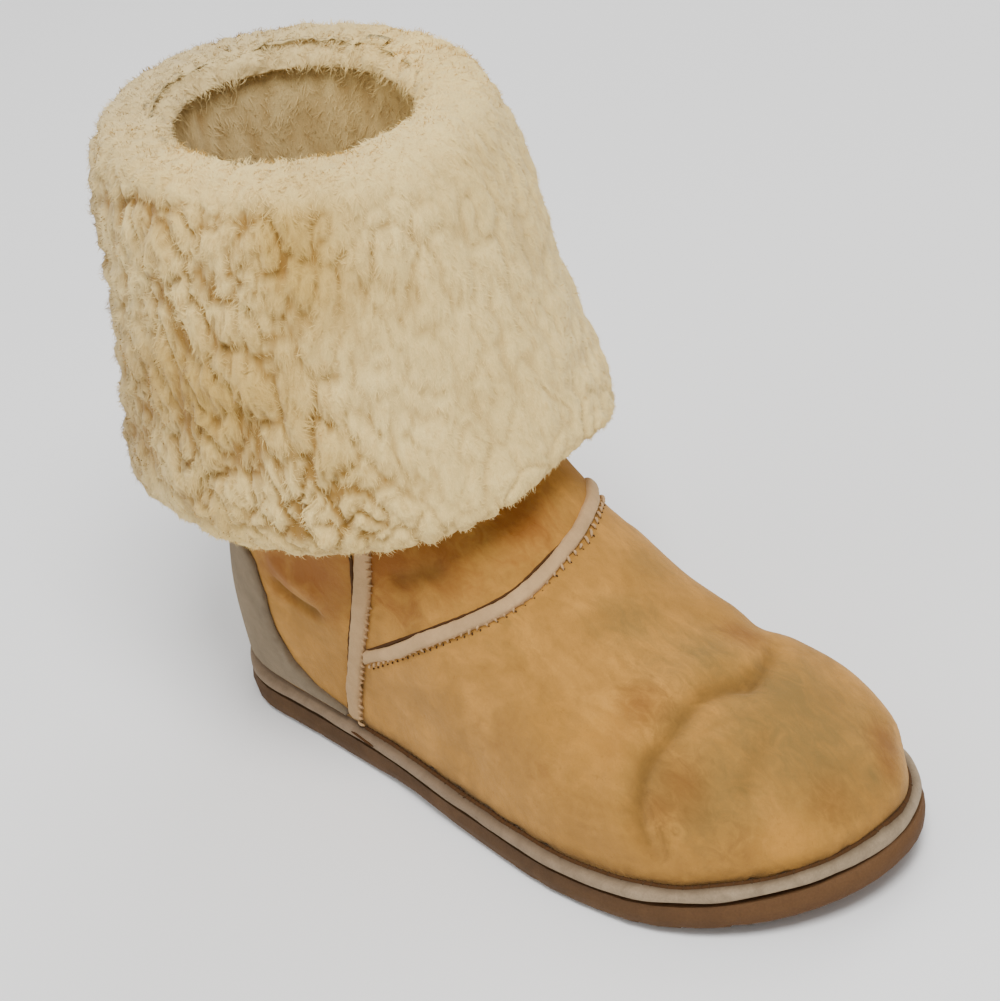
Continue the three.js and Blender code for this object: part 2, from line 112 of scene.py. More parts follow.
# Creases of the worn upper. Each is a soft line across the suede: the stations, places across and heights
# it passes (negative across is the outer side), its depth and its width. A negative depth is a ridge.
CREASES = [
    {"name": "ball crease", "depth": 2.4, "width": 4.6, "path": [
        (216, 33, 58), (222, 24, 62), (227, 14, 63), (229, 5, 63), (226, -2, 65), (222, -12, 64),
        (222, -25, 60), (220, -38, 51), (223, -46, 38), (229, -48, 30), (236, -49, 24)]},
    {"name": "knot at the ball crease", "depth": 1.0, "width": 5.0, "path": [
        (224, 9, 64), (228, 5, 63), (232, 0, 62)]},
    {"name": "roll behind the ball crease", "depth": -1.7, "width": 7.0, "path": [
        (216, 20, 66), (218, 8, 67), (214, -6, 68), (213, -22, 63), (211, -38, 53), (212, -47, 40)]},
    {"name": "roll before the ball crease", "depth": -1.3, "width": 9.0, "path": [
        (228, 30, 56), (238, 18, 57), (240, 4, 59), (237, -14, 58), (236, -28, 54), (237, -40, 44)]},
    {"name": "hollow behind the roll", "depth": 1.0, "width": 9.0, "path": [
        (200, 24, 68), (203, 6, 74), (200, -18, 71), (199, -36, 60)]},
    {"name": "toe trough", "depth": 0.8, "width": 6.0, "path": [
        (244, -4, 57), (247, -16, 53), (249, -28, 45)]},
    {"name": "fullness of the inner instep", "depth": -2.4, "width": 20.0, "path": [
        (150, 32, 78), (167, 29, 76), (182, 30, 68), (209, 30, 61)]},
    {"name": "fullness of the inner toe", "depth": -2.6, "width": 20.0, "path": [
        (206, 37, 54), (224, 37, 51), (240, 40, 43), (252, 38, 39), (264, 31, 33)]},
    {"name": "quarter fold", "depth": 2.3, "width": 3.6, "path": [
        (50, -42, 66), (58, -43, 62), (69, -44, 60), (80, -44, 60)]},
    {"name": "roll over the quarter fold", "depth": -1.2, "width": 6.0, "path": [
        (52, -42, 76), (66, -44, 70), (82, -44, 69)]},
    {"name": "ankle fold", "depth": 1.3, "width": 5.0, "path": [
        (112, -40, 84), (122, -37, 88), (134, -30, 93)]},
    {"name": "vamp hollow", "depth": 1.2, "width": 14.0, "path": [
        (150, -38, 62), (168, -36, 66), (186, -32, 64)]},
    {"name": "waist dent", "depth": 0.9, "width": 9.0, "path": [
        (118, -44, 38), (140, -46, 34), (160, -48, 34)]},
    {"name": "inner quarter fold", "depth": 1.4, "width": 5.0, "path": [
        (52, 41, 64), (66, 42, 60), (80, 41, 59)]},
]

# Marks on the suede: place, size, strength, and which colour they lean to. Most are stains; the reddish brown
# ones below the cuff are painted shadow cast by the cuff, and the dark ones are painted shade in the ball
# crease.
MARKS = [
    {"at": (213, 20, 65), "size": 9, "tone": "brown", "strength": 0.8},
    {"at": (210, -25, 65), "size": 11, "tone": "brown", "strength": 0.7},
    {"at": (207, -36, 56), "size": 9, "tone": "brown", "strength": 0.5},
    {"at": (233, -35, 50), "size": 12, "tone": "brown", "strength": 0.6},
    {"at": (228, -42, 44), "size": 9, "tone": "brown", "strength": 0.6},
    # painted shade in the ball crease
    {"at": (231, -46, 34), "size": 8, "tone": "dark", "strength": 0.38},
    {"at": (264, 25, 40), "size": 8, "tone": "brown", "strength": 0.95},
    {"at": (268, 20, 37), "size": 7, "tone": "brown", "strength": 0.8},
    {"at": (267, -6, 40), "size": 11, "tone": "brown", "strength": 0.5},
    {"at": (255, -34, 34), "size": 13, "tone": "brown", "strength": 0.35},
    {"at": (184, -50, 45), "size": 12, "tone": "brown", "strength": 0.35},
    {"at": (160, -46, 50), "size": 14, "tone": "brown", "strength": 0.25},
    {"at": (118, -42, 74), "size": 12, "tone": "brown", "strength": 0.3},
    {"at": (146, -22, 108), "size": 11, "tone": "brown", "strength": 0.5},
    {"at": (213, 3, 69), "size": 15, "tone": "olive", "strength": 0.75},
    {"at": (238, 10, 59), "size": 18, "tone": "olive", "strength": 0.85},
    {"at": (233, -3, 62), "size": 11, "tone": "olive", "strength": 0.7},
    {"at": (242, -12, 57), "size": 14, "tone": "olive", "strength": 0.7},
    {"at": (250, 2, 54), "size": 34, "tone": "olive", "strength": 0.8},
    {"at": (243, -27, 48), "size": 24, "tone": "olive", "strength": 0.72},
    {"at": (226, -38, 48), "size": 15, "tone": "olive", "strength": 0.6},
    {"at": (208, -8, 70), "size": 20, "tone": "olive", "strength": 0.5},
    {"at": (222, -22, 61), "size": 11, "tone": "olive", "strength": 0.6},
    {"at": (256, 12, 50), "size": 14, "tone": "olive", "strength": 0.5},
    {"at": (269, 11, 39), "size": 6, "tone": "olive", "strength": 0.8},
    {"at": (190, -6, 78), "size": 15, "tone": "olive", "strength": 0.6},
    {"at": (176, 18, 80), "size": 16, "tone": "olive", "strength": 0.45},
    {"at": (160, -30, 76), "size": 13, "tone": "olive", "strength": 0.35},
    {"at": (203, -40, 56), "size": 16, "tone": "gold", "strength": 0.5},
    {"at": (186, -42, 60), "size": 14, "tone": "gold", "strength": 0.45},
    {"at": (264, -23, 31), "size": 14, "tone": "gold", "strength": 0.6},
    {"at": (177, 3, 85), "size": 12, "tone": "gold", "strength": 0.35},
    {"at": (132, -42, 56), "size": 16, "tone": "gold", "strength": 0.35},
    # painted shade in the knot of the ball crease
    {"at": (229, 6, 63), "size": 4.0, "tone": "dark", "strength": 0.5},
    # painted shadow cast by the cuff on the suede below it, in reddish brown
    {"at": (58, -43, 72), "size": 15, "tone": "red", "strength": 0.9},
    {"at": (78, -44, 82), "size": 24, "tone": "red", "strength": 0.9},
    {"at": (112, -42, 92), "size": 22, "tone": "red", "strength": 0.9},
    {"at": (132, -36, 98), "size": 17, "tone": "red", "strength": 0.85},
    {"at": (150, -10, 106), "size": 16, "tone": "red", "strength": 0.8},
    {"at": (60, 42, 74), "size": 20, "tone": "red", "strength": 0.7},
    {"at": (112, 40, 92), "size": 22, "tone": "red", "strength": 0.6},
]
# The reddish brown tone is painted shadow under the cuff; the dark tone is painted shade in the creases and,
# with grime, along the foot of the upper.
TONES = {
    "olive": (0.47, 0.375, 0.20), "brown": (0.48, 0.305, 0.13), "gold": (0.74, 0.52, 0.21),
    "red": (0.50, 0.285, 0.105), "dark": (0.33, 0.23, 0.10),
}

# Middle lines of the raised bindings, from the sole upwards and from side seam to side seam.
SIDE_SEAM = [
    {"at": 83.5, "height": 18}, {"at": 86.2, "height": 30}, {"at": 92.3, "height": 47},
    {"at": 98.0, "height": 64}, {"at": 102.2, "height": 79}, {"at": 105.5, "height": 95},
]
VAMP_SEAM = [
    {"at": 99, "across": -43, "height": 49.5}, {"at": 115, "across": -43, "height": 59.5},
    {"at": 136, "across": -40, "height": 72.5}, {"at": 151, "across": -34, "height": 81.3},
    {"at": 160, "across": -25, "height": 87.3}, {"at": 163, "across": -14, "height": 91.8},
    {"at": 163, "across": 3, "height": 95.6}, {"at": 160, "across": 13, "height": 97.6},
    {"at": 154, "across": 22, "height": 96.5}, {"at": 144, "across": 30, "height": 90.5},
    {"at": 133, "across": 35, "height": 80}, {"at": 116, "across": 38, "height": 64},
    {"at": 99, "across": 38, "height": 49.5},
]
SEAM_SIDE = 44
SIDE_TAPE_WIDTH = 6.5
VAMP_TAPE_WIDTH = 5.0

# The shaft's own axis, the height of its rim, and how the sole rises towards the toe
SHAFT_AT = 66
RIM_HEIGHT = 221
TOE_SPRING = {"start": 190, "end": 280, "rise": 9}
UPPER_FOOT = 17.6

# How fine the meshes are: sides round a thread and a cord, rings along a stitch, steps between path points
THREAD_SIDES = 6
CORD_SIDES = 8
STITCH_RINGS = 5
PATH_STEPS = 24
WELD = 0.01 * MM  # vertices nearer than this are one
SQUARE = math.radians(60)  # how much two triangles may bend and lean and still make one face

# Seed of the soft noise that bends the wool's locks and strands
WOOL_SEED = 5
noise.seed_set(WOOL_SEED)


# ---------------------------------------------------------------- helpers for meshes


def coordinates(mesh):
    """The mesh's vertices as an array."""
    flat = np.empty(len(mesh.vertices) * 3)
    mesh.vertices.foreach_get("co", flat)
    return flat.reshape(-1, 3)


def place(mesh, points):
    """Puts the mesh's vertices at the given points."""
    mesh.vertices.foreach_set("co", np.asarray(points, float).ravel())
    mesh.update()


def normals(mesh):
    """The outward direction at each vertex."""
    flat = np.empty(len(mesh.vertices) * 3)
    mesh.vertex_normals.foreach_get("vector", flat)
    return flat.reshape(-1, 3)


def swell(obj, amounts):
    """Moves the object's surface outwards by an amount at each vertex."""
    place(obj.data, coordinates(obj.data) + normals(obj.data) * amounts[:, None])


def store(mesh, name, values):
    """Keeps one number per vertex for the materials to read."""
    attribute = mesh.attributes.get(name) or mesh.attributes.new(name, "FLOAT", "POINT")
    attribute.data.foreach_set("value", np.asarray(values, float))


def stored(mesh, name):
    """The numbers kept per vertex under a name."""
    values = np.empty(len(mesh.vertices))
    mesh.attributes[name].data.foreach_get("value", values)
    return values


def in_frame(points):
    """Points given as station, across and height in millimetres, as places in the frame in metres."""
    points = np.asarray(points, float)
    return (points + np.array([HEEL_AT, 0, 0])) * MM


def station_of(points):
    """How far forward of the heel's back edge each point is, in millimetres."""
    return points[:, 0] / MM - HEEL_AT


def from_shaft(points):
    """Each point's way out from the shaft's axis, seen from above."""
    return points[:, :2] - np.array([(HEEL_AT + SHAFT_AT) * MM, 0])


def toe_rise(station):
    """How far the sole has risen at a station, in millimetres."""
    share = np.clip((station - TOE_SPRING["start"]) / (TOE_SPRING["end"] - TOE_SPRING["start"]), 0, 1)
    return TOE_SPRING["rise"] * share**2


def smooth_step(values, low, high):
    """0 below low, 1 above high, and a soft rise between them."""
    t = np.clip((np.asarray(values, float) - low) / (high - low), 0, 1)
    return t * t * (3 - 2 * t)


def bumps(points, size, shift=(0, 0, 0)):
    """Soft noise from -1 to 1 whose bumps are about size metres wide."""
    shift = Vector(shift)
    return np.array([noise.noise(Vector(p) / size + shift) for p in points])


def unit(vectors):
    """The vectors made one long."""
    return vectors / (np.linalg.norm(vectors, axis=-1, keepdims=True) + 1e-12)


def deselect():
    """Leaves nothing selected."""
    bpy.ops.object.select_all(action="DESELECT")


def make_active(obj):
    """Leaves only this object selected, and active."""
    deselect()
    obj.select_set(True)
    bpy.context.view_layer.objects.active = obj


def copy_of(node, name):
    """A copy of a frame piece with its own mesh, merged and in square faces where they can be had."""
    make_active(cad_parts[node])
    bpy.ops.object.duplicate()
    obj = bpy.context.object
    obj.name = name
    obj.data.name = name
    for key in list(obj.keys()):
        if key.startswith("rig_"):
            del obj[key]
    obj.parent = None
    obj.data.materials.clear()
    bpy.ops.object.mode_set(mode="EDIT")
    bpy.ops.mesh.select_all(action="SELECT")
    bpy.ops.mesh.remove_doubles(threshold=WELD)
    bpy.ops.mesh.tris_convert_to_quads(face_threshold=SQUARE, shape_threshold=SQUARE)
    bpy.ops.mesh.normals_make_consistent(inside=False)
    bpy.ops.object.mode_set(mode="OBJECT")
    return obj


def subdivide(obj, levels, hold=0.0):
    """Rounds the object with a subdivision, applied. With hold at 1 it keeps passing through its corners."""
    make_active(obj)
    modifier = obj.modifiers.new("Round", "SUBSURF")
    modifier.levels = levels
    modifier.render_levels = levels
    corners = coordinates(obj.data)
    cage = corners.copy()
    for _ in range(2 if hold else 0):
        bpy.context.view_layer.update()
        rounded = obj.evaluated_get(bpy.context.evaluated_depsgraph_get())
        reached = coordinates(rounded.data)[: len(corners)]
        cage = cage + hold * (corners - reached)
        place(obj.data, cage)
    bpy.ops.object.modifier_apply(modifier=modifier.name)
    bpy.ops.object.shade_smooth()


def finish_piece(obj, node_names, material):
    """Dresses a finished piece and lets it stand for its frame nodes."""
    if material:
        obj.data.materials.clear()
        obj.data.materials.append(material)
    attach(obj, BODY)
    if node_names:
        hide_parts(*node_names)
    return obj


def new_object(name, points, faces):
    """A mesh object made of points and faces, in the scene."""
    mesh = bpy.data.meshes.new(name)
    mesh.from_pydata([tuple(p) for p in points], [], [tuple(f) for f in faces])
    mesh.update()
    obj = bpy.data.objects.new(name, mesh)
    bpy.context.scene.collection.objects.link(obj)
    make_active(obj)
    bpy.ops.object.mode_set(mode="EDIT")
    bpy.ops.mesh.select_all(action="SELECT")
    bpy.ops.mesh.normals_make_consistent(inside=False)
    bpy.ops.object.mode_set(mode="OBJECT")
    bpy.ops.object.shade_smooth()
    return obj


def triangle_object(name, points, triangles):
    """A mesh object of many triangles, built from arrays."""
    mesh = bpy.data.meshes.new(name)
    mesh.vertices.add(len(points))
    mesh.vertices.foreach_set("co", np.asarray(points, float).ravel())
    mesh.loops.add(triangles.size)
    mesh.loops.foreach_set("vertex_index", triangles.ravel())
    mesh.polygons.add(len(triangles))
    mesh.polygons.foreach_set("loop_start", np.arange(0, triangles.size, 3))
    mesh.update(calc_edges=True)
    mesh.polygons.foreach_set("use_smooth", np.ones(len(triangles), dtype=bool))
    obj = bpy.data.objects.new(name, mesh)
    bpy.context.scene.collection.objects.link(obj)
    return obj


def tree_of(obj):
    """A search tree of the object's faces."""
    mesh = obj.data
    return BVHTree.FromPolygons([v.co for v in mesh.vertices], [p.vertices for p in mesh.polygons])


def along_path(points, spacing):
    """Evenly spaced points along a smooth line through the given ones, and the direction at each."""
    points = np.asarray(points, float)
    padded = np.vstack([2 * points[0] - points[1], points, 2 * points[-1] - points[-2]])
    fine = []
    for a, b, c, d in zip(padded, padded[1:], padded[2:], padded[3:]):
        for t in np.linspace(0, 1, PATH_STEPS, endpoint=False):
            fine.append(0.5 * (2 * b + (c - a) * t + (2 * a - 5 * b + 4 * c - d) * t**2
                               + (3 * b - a - 3 * c + d) * t**3))
    fine = np.array([*fine, points[-1]])
    run = np.concatenate([[0], np.cumsum(np.linalg.norm(np.diff(fine, axis=0), axis=1))])
    count = max(3, int(run[-1] / spacing) + 1)
    stops = np.linspace(0, run[-1], count)
    even = np.column_stack([np.interp(stops, run, fine[:, k]) for k in range(3)])
    return even, unit(np.gradient(even, axis=0))


def skin_line(tree, points, spacing):
    """A line laid on the skin: places, directions and outward normals."""
    even, _ = along_path(points, spacing)
    spots, outwards = [], []
    for point in even:
        spot, outward, _, _ = tree.find_nearest(Vector(point))
        spots.append(spot)
        outwards.append(outward)
    spots = np.array(spots)
    return spots, unit(np.gradient(spots, axis=0)), np.array(outwards)


def ring(middle, side, outward, radius, sides):
    """Points round the middle of a thread."""
    return [middle + (side * math.cos(turn) + outward * math.sin(turn)) * radius
            for turn in np.linspace(0, 2 * math.pi, sides, endpoint=False)]


def tubes(name, rows):
    """Rounded threads with closed ends. Each is a row of rings, all with the same number of points."""
    points, faces = [], []
    for rings in rows:
        base, size = len(points), len(rings[0])
        last = base + (len(rings) - 1) * size
        for circle in rings:
            points.extend(circle)
        for start in range(base, last, size):
            for k in range(size):
                a, b = start + k, start + (k + 1) % size
                faces.append((a, a + size, b + size, b))
        faces.append(tuple(range(base, base + size)))
        faces.append(tuple(reversed(range(last, last + size))))
    return new_object(name, points, faces)


def stitches(name, line, stitch_length, thickness, slant):
    """Short rounded threads, one at each spot, slanted from the line's direction and none quite alike."""
    chance = np.random.default_rng(len(line[0]))
    threads = []
    for spot, direction, outward in zip(*line):
        turn = math.radians(slant) + chance.normal(0, 0.25)
        long = stitch_length * (1 + chance.normal(0, 0.2))
        along = direction * math.cos(turn) + np.cross(outward, direction) * math.sin(turn)
        side = np.cross(outward, along)
        rings = []
        for t in np.linspace(-1, 1, STITCH_RINGS):
            full = math.sqrt(max(1 - t**4, 0.04))
            middle = spot + along * (t * long / 2) + outward * (thickness * 0.5 * (1 - t * t))
            rings.append(ring(middle, side, outward, thickness / 2 * full, THREAD_SIDES))
        threads.append(rings)
    return tubes(name, threads)


def seam_cord(name, line, radius):
    """One thin cord lying along a line, its ends drawn in."""
    spots, directions, outwards = line
    sides = unit(np.cross(outwards, directions))
    rings = []
    for index, (spot, side, outward) in enumerate(zip(spots, sides, outwards)):
        end = min(index, len(spots) - 1 - index)
        rings.append(ring(spot, side, outward, radius * min(1.0, 0.35 + 0.35 * end), CORD_SIDES))
    return tubes(name, [rings])


# ---------------------------------------------------------------- helpers for materials


def linear(shade, factor=1.0):
    """A screen colour as the renderer's linear colour."""
    values = [((c + 0.055) / 1.055) ** 2.4 if c > 0.04045 else c / 12.92 for c in shade]
    return (*(value * factor for value in values), 1.0)


class Shader:
    """Builds one material's nodes with short calls."""

    def __init__(self, name, roughness, sheen=0.0, sheen_tint=(1, 1, 1)):
        self.material = bpy.data.materials.new(name)
        self.material.use_nodes = True
        self.nodes = self.material.node_tree.nodes
        self.links = self.material.node_tree.links
        self.surface = self.nodes["Principled BSDF"]
        self.surface.inputs["Roughness"].default_value = roughness
        self.surface.inputs["Specular IOR Level"].default_value = 0.15
        self.surface.inputs["Sheen Weight"].default_value = sheen
        self.surface.inputs["Sheen Roughness"].default_value = 0.5
        self.surface.inputs["Sheen Tint"].default_value = (*sheen_tint, 1.0)
        self.place = self.nodes.new("ShaderNodeTexCoord").outputs["Object"]

    def set(self, socket, value):
        """Links or sets a socket."""
        if isinstance(value, bpy.types.NodeSocket):
            self.links.new(value, socket)
        else:
            socket.default_value = value

    def stretched(self, scale, turn=(0.0, 0.0, 0.0)):
        """The place, turned and stretched along the axes."""
        node = self.nodes.new("ShaderNodeMapping")
        self.links.new(self.place, node.inputs["Vector"])
        node.inputs["Scale"].default_value = scale
        node.inputs["Rotation"].default_value = turn
        return node.outputs["Vector"]

    def noise(self, size, detail=4.0, roughness=0.55, distortion=0.0, vector=None):
        """Soft noise whose features are about size metres wide."""
        node = self.nodes.new("ShaderNodeTexNoise")
        self.links.new(vector or self.place, node.inputs["Vector"])
        node.inputs["Scale"].default_value = 1 / size
        node.inputs["Detail"].default_value = detail
        node.inputs["Roughness"].default_value = roughness
        node.inputs["Distortion"].default_value = distortion
        return node.outputs["Fac"]

    def attribute(self, name):
        """A number stored on the mesh."""
        node = self.nodes.new("ShaderNodeAttribute")
        node.attribute_name = name
        return node.outputs["Fac"]

    def along(self, axis):
        """The place along one axis."""
        node = self.nodes.new("ShaderNodeSeparateXYZ")
        self.links.new(self.place, node.inputs["Vector"])
        return node.outputs[axis]

    def ramp(self, value, low, high, bottom=0.0, top=1.0):
        """The value's range from low to high, spread over bottom to top."""
        node = self.nodes.new("ShaderNodeMapRange")
        self.set(node.inputs["Value"], value)
        for socket, number in zip(("From Min", "From Max", "To Min", "To Max"), (low, high, bottom, top)):
            node.inputs[socket].default_value = number
        return node.outputs["Result"]

    def maths(self, operation, a, b):
        """One sum on two values."""
        node = self.nodes.new("ShaderNodeMath")
        node.operation = operation
        self.set(node.inputs[0], a)
        self.set(node.inputs[1], b)
        return node.outputs["Value"]

    def blend(self, share, a, b):
        """Colour a turning into colour b by a share."""
        node = self.nodes.new("ShaderNodeMix")
        node.data_type = "RGBA"
        self.set(node.inputs[0], share)
        self.set(node.inputs[6], a)
        self.set(node.inputs[7], b)
        return node.outputs[2]

    def bump(self, height, distance, strength, below=None):
        """Raises the surface by a height, over an earlier bump."""
        node = self.nodes.new("ShaderNodeBump")
        node.inputs["Distance"].default_value = distance
        node.inputs["Strength"].default_value = strength
        self.set(node.inputs["Height"], height)
        if below:
            self.links.new(below, node.inputs["Normal"])
        return node.outputs["Normal"]

    def done(self, shade, normal=None):
        """Sets the colour and the bump."""
        self.set(self.surface.inputs["Base Color"], shade)
        if normal:
            self.links.new(normal, self.surface.inputs["Normal"])
        return self.material


def suede(name, base, patches=1.0, marks=False):
    """Napped suede: brushed patches, mottling, fine fibres and a soft sheen."""
    s = Shader(name, 0.95, 0.18, (1.0, 0.8, 0.52))
    brushed = s.stretched((1.0, 2.2, 1.3), (0.3, 0.5, 0.9))
    broad = s.ramp(s.noise(30 * MM, 4, 0.55, 0.8), 0.38, 0.62)
    strokes = s.ramp(s.noise(11 * MM, 5, 0.62, 0.9, brushed), 0.38, 0.62)
    mottle = s.ramp(s.noise(4.0 * MM, 5, 0.65, 0.4), 0.32, 0.7)
    fibre = s.ramp(s.noise(0.7 * MM, 3, 0.7), 0.3, 0.72)
    tone = s.blend(s.maths("MULTIPLY", broad, 0.9 * patches), linear(base, 1.12), linear(base, 0.7))
    tone = s.blend(s.maths("MULTIPLY", strokes, 0.5 * patches), tone, linear(base, 0.6))
    tone = s.blend(s.maths("MULTIPLY", mottle, 0.22), tone, linear(base, 1.3))
    if marks:
        patchy_edge = s.ramp(s.noise(9 * MM, 6, 0.66, 0.9), 0.3, 0.66, 0.35, 1.3)
        ragged = s.ramp(s.noise(10 * MM, 6, 0.68, 1.0, brushed), 0.3, 0.7, -0.22, 0.22)
        for label, target in TONES.items():
            share = s.maths("ADD", s.attribute(label.capitalize()), ragged)
            share = s.ramp(share, 0.22, 0.85, 0, 0.85)
            tone = s.blend(share, tone, linear(target))
        # painted shade darkens the narrow creases
        tone = s.blend(s.maths("MULTIPLY", s.attribute("Crease"), 0.6), tone, linear(TONES["dark"]))
        # the foot of the upper darkens towards the band: grime, and painted shade in the groove between them
        tone = s.blend(s.maths("MULTIPLY", s.attribute("Edge shade and grime"), patchy_edge), tone, linear(TONES["dark"]))
        scuffs = s.ramp(s.noise(2.6 * MM, 4, 0.7, 1.4, brushed), 0.60, 0.72, 0, 0.3)
        tone = s.blend(scuffs, tone, linear(TONES["brown"], 0.8))
    tone = s.blend(s.maths("MULTIPLY", fibre, 0.2), tone, linear(base, 0.55))
    normal = s.bump(s.noise(0.55 * MM, 4, 0.75), 0.3 * MM, 0.55)
    normal = s.bump(s.noise(4.5 * MM, 4, 0.6, 0.4), 0.8 * MM, 0.35, normal)
    return s.done(tone, normal)


def wool(name, settings):
    """Sheep's wool: cream at the tips, golden-brown in the gaps, where that colour also stands for painted
    shade, with fine crimped fibres.
    """
    s = Shader(name, 0.9, 0.2, (1.0, 0.93, 0.8))
    root = settings.wool_root_and_gap_shade_colour
    body = wool_tone(s, settings)
    fibre = s.noise(0.5 * MM, 3, 0.6, 1.2, s.stretched((1.0, 1.0, 0.35)))
    body = s.blend(s.ramp(fibre, 0.35, 0.75, 0, 0.3), body, linear(root))
    normal = s.bump(fibre, 0.5 * MM, 0.6)
    return s.done(body, normal)


def wool_tone(s, settings):
    """The wool's colour from its stored patches: cream, golden, greyed at the back as painted shade, and
    darkest in the gaps, where the root colour is partly painted shade.
    """
    tip = settings.wool_colour
    broad = s.ramp(s.noise(24 * MM, 3, 0.5, 0.4), 0.35, 0.65)
    body = s.blend(s.maths("MULTIPLY", broad, 0.5), linear(tip), linear(tip, 0.84))
    body = s.blend(s.attribute("Golden"), body, linear(settings.wool_golden_colour))
    # painted shade: the wool greys towards the back of the boot, which lies in shade
    body = s.blend(s.ramp(s.along("X"), -60 * MM, -140 * MM, 0, 0.6), body, linear((0.70, 0.65, 0.54)))
    # the gaps take the golden-brown root colour, which also paints the shade between the locks
    return s.blend(s.attribute("Gap"), body, linear(settings.wool_root_and_gap_shade_colour))


def thread(name, shade, roughness=0.8):
    """Spun thread, or a dark cord of painted shadow and grime along a seam."""
    s = Shader(name, roughness)
    tone = s.blend(s.noise(3 * MM), linear(shade), linear(shade, 0.65))
    return s.done(tone, s.bump(s.noise(0.3 * MM), 0.1 * MM, 0.5))


# ---------------------------------------------------------------- the upper


LINE_REACH = 2.5  # widths beyond which a line isn't felt
LINE_SPREAD = 0.62  # widths over which it fades
CREASE_FADE = (-0.02, 0.2)  # share of a crease's length over which its ends fade


def near_line(points, line, width):
    """How close each point is to a line: 1 on it, fading within about a width."""
    share = np.zeros(len(points))
    nearest = np.zeros(len(points), dtype=int)
    low, high = line.min(0) - LINE_REACH * width, line.max(0) + LINE_REACH * width
    near = np.where(((points > low) & (points < high)).all(1))[0]
    if len(near):
        gaps = np.linalg.norm(points[near, None] - line[None], axis=2)
        nearest[near] = gaps.argmin(1)
        share[near] = np.exp(-((gaps.min(1) / (LINE_SPREAD * width)) ** 2))
    return share, nearest


def crease_share(points, crease, tree):
    """How strongly each point feels a crease: 1 on its line, fading to the sides and at its ends."""
    line, _, _ = skin_line(tree, in_frame(crease["path"]), 1.5 * MM)
    share, nearest = near_line(points, line, crease["width"] * MM)
    ends = np.minimum(nearest, len(line) - 1 - nearest) / max(len(line) - 1, 1)
    return share * smooth_step(ends, *CREASE_FADE)


def side_seam_path(side):
    """The side seam's middle line on the outer or the inner side."""
    return [(row["at"], side * SEAM_SIDE, row["height"]) for row in SIDE_SEAM]


def vamp_seam_path():
    """The vamp binding's middle line."""
    return [(row["at"], row["across"], row["height"]) for row in VAMP_SEAM]


TOE_CORE_AT = 235  # station where the foot ends inside the toe
CORE_HEIGHT = 30  # height of the foot's middle in front of the heel
HEEL_REACH = 120  # station up to which the heel and shaft reach
SHAFT_FROM = 100  # height from which the shaft stands
RIM_WOOL = 8  # how far the lining's wool laps over the rim
SHADED_CREASE_WIDTH = 7  # narrower creases are darkened with painted shade
SEAM_PULL = 0.7  # how far the skin is drawn in along its seams,
FOOT_PULL = 1.2  # and round its foot,
FOOT_SINK = 2.0  # and how far the foot is pressed down into the band
FOOT_EDGE = 2.5  # height of the edge that meets the band


